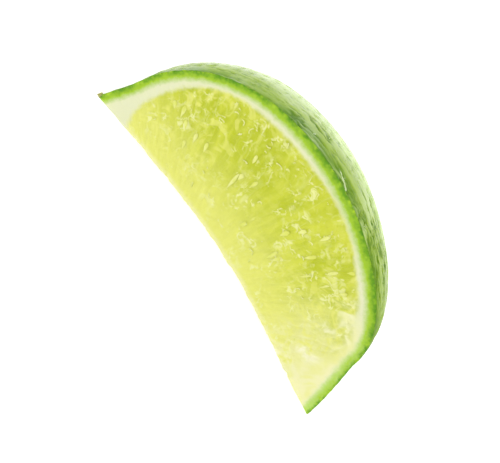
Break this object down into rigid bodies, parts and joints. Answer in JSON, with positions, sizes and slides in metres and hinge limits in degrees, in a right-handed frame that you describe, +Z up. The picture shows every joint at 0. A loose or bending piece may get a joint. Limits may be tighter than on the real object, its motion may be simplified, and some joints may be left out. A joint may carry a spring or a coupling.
{
  "type": "lime wedge",
  "caption": "Fresh lime wedge, a lengthwise sixth of a lime with green skin, pale pith and juicy pulp, lying on one of its cut faces.",
  "frame": {"origin": "on the plane of the resting cut face, under the middle of the wedge's box", "axes": "+X along the lime's axis from the stem end to the nipple end, +Y across the resting face from the core edge to the rind, +Z up"},
  "size_m": [0.06, 0.0284, 0.0246],
  "materials": {
    "rind": "waxy green lime skin with fine pores",
    "pith": "soft cream-white pith and segment membrane",
    "pulp": "wet, translucent yellow-green juice sacs"
  },
  "bodies": {
    "root": {"lime_wedge": "rind"}
  },
  "joints": []
}
